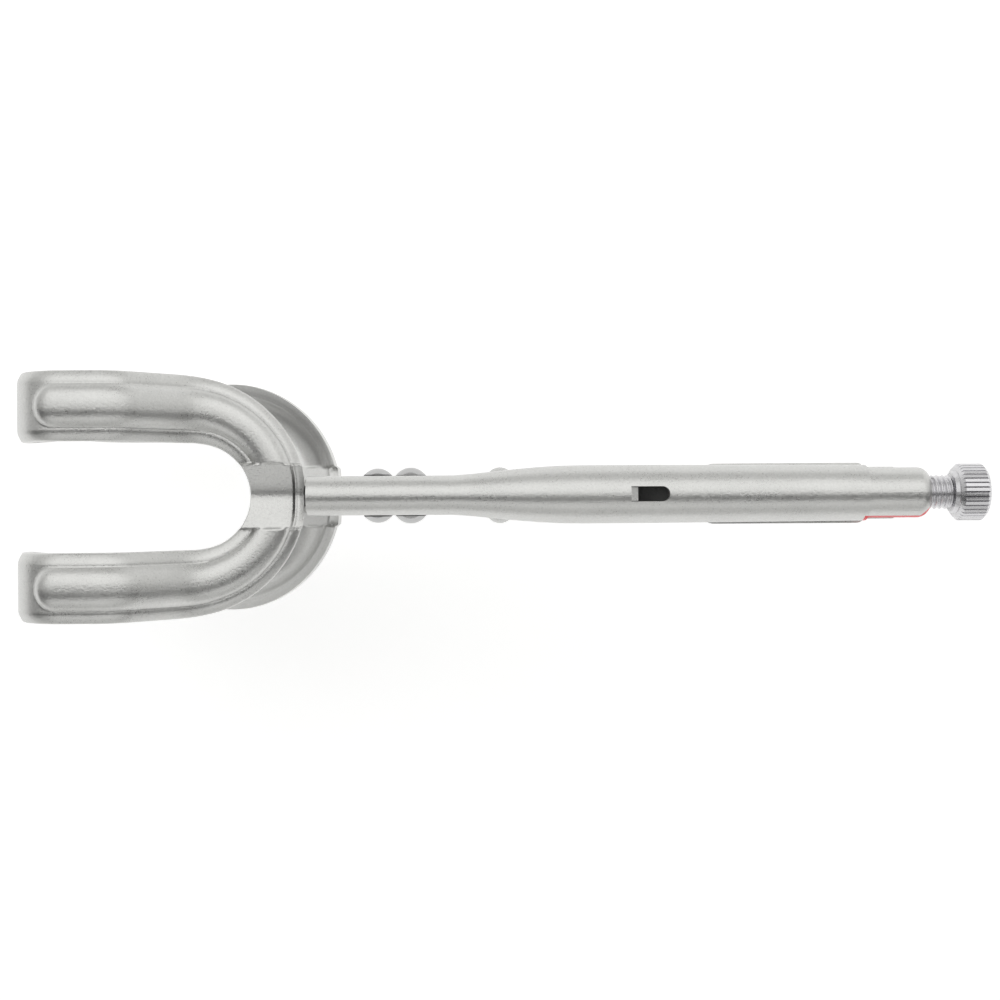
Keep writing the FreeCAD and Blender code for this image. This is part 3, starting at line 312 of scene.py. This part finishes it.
# the side line of an arch, straight runs joined by tangent arcs, and the length up to each of its points
def archLine(rear):
    slope = (jaw["footHeight"] - jaw["saddleHeight"]) / (jaw["throat"] + jaw["saddle"] - jaw["footReach"])
    end = rear + jaw["runOut"]
    corners = [
        (jaw["front"], jaw["apart"]), (jaw["front"], jaw["height"]), (jaw["topEnd"], jaw["height"]),
        (jaw["footReach"], jaw["footHeight"]),
        (end, jaw["footHeight"] - slope * (end - jaw["footReach"])),
    ]
    corners = [np.array(c) for c in corners]
    line = [corners[0]]
    for before, corner, after, radius in zip(corners, corners[1:], corners[2:], jaw["radii"]):
        inward = (before - corner) / np.linalg.norm(before - corner)
        outward = (after - corner) / np.linalg.norm(after - corner)
        half = math.acos(float(np.clip(inward @ outward, -1, 1))) / 2
        middle = (inward + outward) / np.linalg.norm(inward + outward)
        centre = corner + middle * radius / math.sin(half)
        first = corner + inward * radius / math.tan(half) - centre
        last = corner + outward * radius / math.tan(half) - centre
        turn = math.pi - 2 * half
        for share in np.linspace(0, 1, jaw["arcSteps"]):
            mix = (math.sin((1 - share) * turn) * first + math.sin(share * turn) * last) / math.sin(turn)
            line.append(centre + mix)
    line.append(corners[-1])
    line = np.array(line)
    run = np.concatenate([[0.0], np.cumsum(np.linalg.norm(np.diff(line, axis=0), axis=1))])
    return line, run


# A jaw is a pressed sheet. Its outer face is base(run, y) + normal(run) * lift(row, across), where base
# lies on the arch line; the inner face is one sheet thickness below it, and each row is a closed loop.
def buildJaw(name, shape, body):
    side = shape["side"]
    innerHalf = shape["gap"] / 2
    outerHalf = innerHalf + shape["arm"]
    innerApex = jaw["throat"] + shape["setback"]
    outerApex = innerApex + jaw["saddle"]
    innerCentre = innerApex - innerHalf
    outerCentre = outerApex - outerHalf
    line, run = archLine(outerApex)
    steady = line[:, 0] > jaw["front"] + jaw["tiny"]
    xs, runs = line[steady, 0], run[steady]
    # rows: up one arm, round the bend, down the other
    share = np.linspace(0, 1, jaw["armRows"])
    angle = np.linspace(math.pi / 2, -math.pi / 2, jaw["bendRows"] + 2)[1:-1]
    ends = []
    for centre, half in ((innerCentre, innerHalf), (outerCentre, outerHalf)):
        armRun = share * np.interp(centre, xs, runs)
        bendRun = np.interp(centre + half * np.cos(angle), xs, runs)
        rowRun = np.concatenate([armRun, bendRun, armRun[::-1]])
        rowY = np.concatenate([np.full_like(share, half), half * np.sin(angle), np.full_like(share, -half)])
        ends.append((rowRun, rowY))
    (innerRun, innerY), (outerRun, outerY) = ends
    # each arm's inner edge leans outward towards its tip
    lean = shape["narrowing"] * np.clip(1 - innerRun / jaw["narrowingRun"], 0, 1)
    innerY = innerY + np.sign(innerY) * lean
    # the saddle's rear edge is trimmed back in the middle
    atRear = outerRun > outerRun.max() * jaw["trimFrom"]
    outerRun = outerRun - jaw["rearTrim"] * np.exp(-(outerY / jaw["trimWidth"]) ** 2) * atRear

    def across(v, below):
        rowRun = innerRun[:, None] * (1 - v) + outerRun[:, None] * v
        y = innerY[:, None] * (1 - v) + outerY[:, None] * v
        x = np.interp(rowRun, run, line[:, 0])
        z = np.interp(rowRun, run, line[:, 1])
        middles = (run[1:] + run[:-1]) / 2
        steps = np.diff(line, axis=0) / np.diff(run)[:, None]
        tx = np.interp(rowRun, middles, steps[:, 0])
        tz = np.interp(rowRun, middles, steps[:, 1])
        size = np.hypot(tx, tz)
        # bead: lift * (1 - u^square)^flat, rounded off at the tip, dying away at the saddle
        u = np.abs(v - 0.5) / jaw["beadShare"]
        tipRun = np.interp(jaw["front"] + jaw["beadTip"], xs, runs)
        toTip = np.clip((tipRun + jaw["bead"] / 2 - rowRun) / (jaw["bead"] / 2), 0, 3)
        u = np.hypot(u, toTip)
        bead = jaw["lift"] * (1 - np.clip(u, 0, 1) ** jaw["beadSquare"]) ** jaw["beadFlat"]
        inBend = rowRun > np.interp(innerCentre + jaw["saddleFrom"], xs, runs)
        near = np.abs(y) / jaw["saddleHalf"]
        valley = np.hypot(np.clip(near, 0, 1), jaw["valleyRound"]) - jaw["valleyRound"]
        valley = jaw["valleyRise"] * valley - jaw["valleyDrop"]
        crease = jaw["crease"] * np.exp(-((v - jaw["creaseAt"]) / jaw["creaseWidth"]) ** 2)
        onSaddle = inBend * (1 - smoothStep((near - 1.0) / jaw["saddleStep"]))
        # both flanges roll off towards their free edges
        past = (np.abs(v - 0.5) - jaw["rollStart"]) / (0.5 - jaw["rollStart"])
        roll = jaw["roll"] * np.clip(past, 0, 1) ** jaw["rollPower"]
        roll = roll * np.clip(rowRun / jaw["rollRun"], 0, 1)
        lift = (bead - roll) * (1 - onSaddle) + (valley - crease) * onSaddle
        lift = lift - below
        return np.stack([x - tz / size * lift, y, side * (z + tx / size * lift)], axis=-1)

    # one loop per row: outer face, rounded rim, inner face, rounded rim
    firstV, lastV = jaw["rim"], 1 - jaw["rim"]
    outerV = np.linspace(firstV, lastV, jaw["columns"])
    innerV = np.linspace(lastV, firstV, jaw["columns"] // 2)
    rim = np.linspace(0, math.pi, jaw["rimSteps"])[1:-1]
    t = jaw["sheet"]
    strips = [across(outerV[None, :], 0.0)]
    bulge = jaw["rim"] * np.sin(rim)[None, :]
    strips.append(across(lastV + bulge, (t / 2 * (1 - np.cos(rim)))[None, :]))
    strips.append(across(innerV[None, :], t))
    strips.append(across(firstV - bulge, (t / 2 * (1 + np.cos(rim)))[None, :]))
    loops = np.concatenate(strips, axis=1)
    rows, columns = loops.shape[:2]
    faces = tubeFaces(rows, columns)
    if side > 0:
        faces = [f[::-1] for f in faces]
    points = loops.reshape(-1, 3)
    return makePiece(name, points, faces, finish[shape["finish"]], body, sharpAngle=jaw["sharpAngle"])


upper = buildJaw("upperJaw", jaw["upper"], "frame")
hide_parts("upper_jaw")
lower = buildJaw("lowerJaw", jaw["lower"], "moving_jaw")
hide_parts("lower_jaw")
print("jaws built")


screw = {"start": 0.2298, "end": 0.2719, "height": 0.021, "radius": 0.0049, "depth": 0.00088,
         "pitch": 0.0015, "threadEnd": 0.2640, "around": 72, "perPitch": 12, "toothWidth": 1.35,
         "toothShift": 0.15, "toothRound": 0.5, "fadeIn": 0.001, "fadeOut": 0.0012, "sharpAngle": 70.0}


# thread: radius(x, angle) = root + depth * rounded saw of (x / pitch - angle / turn), faded at both ends
def buildScrew():
    count = int((screw["end"] - screw["start"]) / screw["pitch"] * screw["perPitch"])
    x = np.linspace(screw["start"], screw["end"], count)[:, None]
    angle = np.linspace(0, 2 * math.pi, screw["around"], endpoint=False)[None, :]
    phase = (x / screw["pitch"] - angle / (2 * math.pi)) % 1.0
    tooth = np.clip(np.abs(phase - 0.5) * 2 * screw["toothWidth"] - screw["toothShift"], 0, 1)
    tooth = smoothStep(tooth) * screw["toothRound"] + tooth * (1 - screw["toothRound"])
    fade = smoothStep((x - screw["start"]) / screw["fadeIn"])
    fade = fade * (1 - smoothStep((x - screw["threadEnd"]) / screw["fadeOut"]))
    root = screw["radius"] - screw["depth"]
    radius = root + (screw["depth"] * tooth) * fade
    points = np.stack([
        np.broadcast_to(x, radius.shape), radius * np.cos(angle), screw["height"] + radius * np.sin(angle),
    ], axis=-1)
    rows, columns = radius.shape
    points = points.reshape(-1, 3)
    faces = tubeFaces(rows, columns)
    zinc = finish["brightZinc"]
    return makePiece("threadedShank", points, faces, zinc, "screw", sharpAngle=screw["sharpAngle"])


shank = buildScrew()
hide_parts("screw_shank")
print("screw built")


coil = {"ear": (0.1201, 0.0145), "tab": (0.1716, 0.0251), "radius": 0.0026, "wire": 0.0005,
        "hookRun": 0.0060, "tailRun": 0.0060, "turns": 34, "steps": 1400, "around": 10,
        "pastTab": 0.002, "ease": 0.002, "lean": 0.2}


# spring: centre line = along the axis * run + radius * (cos, sin)(turn), radius easing to 0 at both hooks
def buildSpring():
    ear = np.array([coil["ear"][0], 0.0, coil["ear"][1]])
    tab = np.array([coil["tab"][0] + coil["pastTab"], 0.0, coil["tab"][1]])
    axis = (tab - ear) / np.linalg.norm(tab - ear)
    span = np.linalg.norm(tab - ear)
    along = np.linspace(0, 1, coil["steps"])
    run = along * span
    coiled = smoothStep((run - coil["hookRun"]) / coil["ease"])
    coiled = coiled * (1 - smoothStep((run - span + coil["tailRun"]) / coil["ease"]))
    inCoil = np.clip((run - coil["hookRun"]) / (span - coil["hookRun"] - coil["tailRun"]), 0, 1)
    turn = 2 * math.pi * coil["turns"] * inCoil
    sideways = np.array([0.0, 1.0, 0.0])
    upward = np.cross(axis, sideways)
    reach = (coil["radius"] * coiled)[:, None]
    centre = ear + run[:, None] * axis + reach * (
        np.cos(turn)[:, None] * sideways + np.sin(turn)[:, None] * upward)
    tangent = np.gradient(centre, axis=0)
    tangent /= np.linalg.norm(tangent, axis=1)[:, None]
    first = np.cross(tangent, axis + coil["lean"] * sideways)
    first /= np.linalg.norm(first, axis=1)[:, None]
    second = np.cross(tangent, first)
    angle = np.linspace(0, 2 * math.pi, coil["around"], endpoint=False)
    ring = np.cos(angle)[:, None] * first[:, None, :] + np.sin(angle)[:, None] * second[:, None, :]
    points = centre[:, None, :] + coil["wire"] * ring
    rows, columns = points.shape[:2]
    faces = tubeFaces(rows, columns)
    return makePiece("extensionSpring", points.reshape(-1, 3), faces, finish["springSteel"], None), ear, tab


spring, earEnd, tabEnd = buildSpring()
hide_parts("extension_spring")
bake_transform(spring)
print("spring built")


studio = {
    "floorHeight": -0.088, "floorSize": 12.0, "floorGlow": 0.36, "camera": (0.1343, -0.0015, 0.4240),
    "centreX": 0.13, "roll": -0.0062, "lens": 50.0, "sensor": 36.0, "nearest": 0.01,
    "panelHeight": 0.9, "panelLength": 2.2, "pale": (0.95, 0.95, 0.95, 1), "paleRoughness": 0.9,
    "tent": [(-1.0, 0.66), (-0.53, 0.64), (-0.43, 0.08), (-0.15, 0.07), (-0.03, 0.80), (0.6, 0.93),
             (1.0, 0.66)],
    "tentWarmth": 0.985, "frontShade": 0.64, "frontEnd": -0.35,
}


def buildFloor():
    half = studio["floorSize"] / 2
    points = np.array([[-half, -half, 0], [half, -half, 0], [half, half, 0], [-half, half, 0]])
    points += np.array([studio["centreX"], 0.0, studio["floorHeight"]])
    pale = bpy.data.materials.new("paleFloor")
    pale.use_nodes = True
    shader = pale.node_tree.nodes["Principled BSDF"]
    shader.inputs["Base Color"].default_value = studio["pale"]
    shader.inputs["Roughness"].default_value = studio["paleRoughness"]
    shader.inputs["Specular IOR Level"].default_value = 0.0
    shader.inputs["Emission Color"].default_value = (1, 1, 1, 1)
    shader.inputs["Emission Strength"].default_value = studio["floorGlow"]
    return makePiece("floor", points, [[0, 1, 2, 3]], pale, None, smooth=False)


floor = buildFloor()


# a panel overhead, level, from one y to another; power is its brightness times pi times its area
def overheadPanel(name, fromY, toY, brightness):
    light = bpy.data.lights.new(name, "AREA")
    light.shape = "RECTANGLE"
    light.size = studio["panelLength"]
    light.size_y = toY - fromY
    light.energy = brightness * math.pi * light.size * light.size_y
    lamp = bpy.data.objects.new(name, light)
    bpy.context.scene.collection.objects.link(lamp)
    lamp.location = (studio["centreX"], (fromY + toY) / 2, studio["panelHeight"])
    return lamp


lamps = [
    overheadPanel("backPanel", -0.05, 1.30, 0.40),
    overheadPanel("frontPanel", -1.30, -0.50, 0.30),
]
world = bpy.data.worlds.new("studioWorld")
bpy.context.scene.world = world
world.use_nodes = True
# a light tent, pale on both sides with a dark strip overhead: brightness is a ramp over direction's y
tent = world.node_tree
heading = tent.nodes.new("ShaderNodeTexCoord")
split = tent.nodes.new("ShaderNodeSeparateXYZ")
share = tent.nodes.new("ShaderNodeMapRange")
share.inputs["From Min"].default_value = -1.0
ramp = tent.nodes.new("ShaderNodeValToRGB")
stops = ramp.color_ramp.elements
for number, (y, level) in enumerate(studio["tent"]):
    stop = stops[number] if number < 2 else stops.new(1.0)
    stop.position = (y + 1) / 2
    stop.color = (level, level, level * studio["tentWarmth"], 1)
tent.links.new(heading.outputs["Generated"], split.inputs[0])
tent.links.new(split.outputs["Y"], share.inputs["Value"])
tent.links.new(share.outputs["Result"], ramp.inputs["Fac"])
tent.links.new(ramp.outputs["Color"], tent.nodes["Background"].inputs["Color"])
# the end the jaws face is dimmer
front = tent.nodes.new("ShaderNodeMapRange")
front.inputs["From Min"].default_value = -1.0
front.inputs["From Max"].default_value = studio["frontEnd"]
front.inputs["To Min"].default_value = studio["frontShade"]
tent.links.new(split.outputs["X"], front.inputs["Value"])
tent.links.new(front.outputs["Result"], tent.nodes["Background"].inputs["Strength"])
bpy.context.scene.view_settings.view_transform = "Standard"

cameraData = bpy.data.cameras.new("camera")
cameraData.lens = studio["lens"]
cameraData.sensor_width = studio["sensor"]
cameraData.clip_start = studio["nearest"]
camera = bpy.data.objects.new("camera", cameraData)
bpy.context.scene.collection.objects.link(camera)
camera.location = studio["camera"]
camera.rotation_euler = (0.0, 0.0, studio["roll"])
bpy.context.scene.camera = camera
print("studio set")
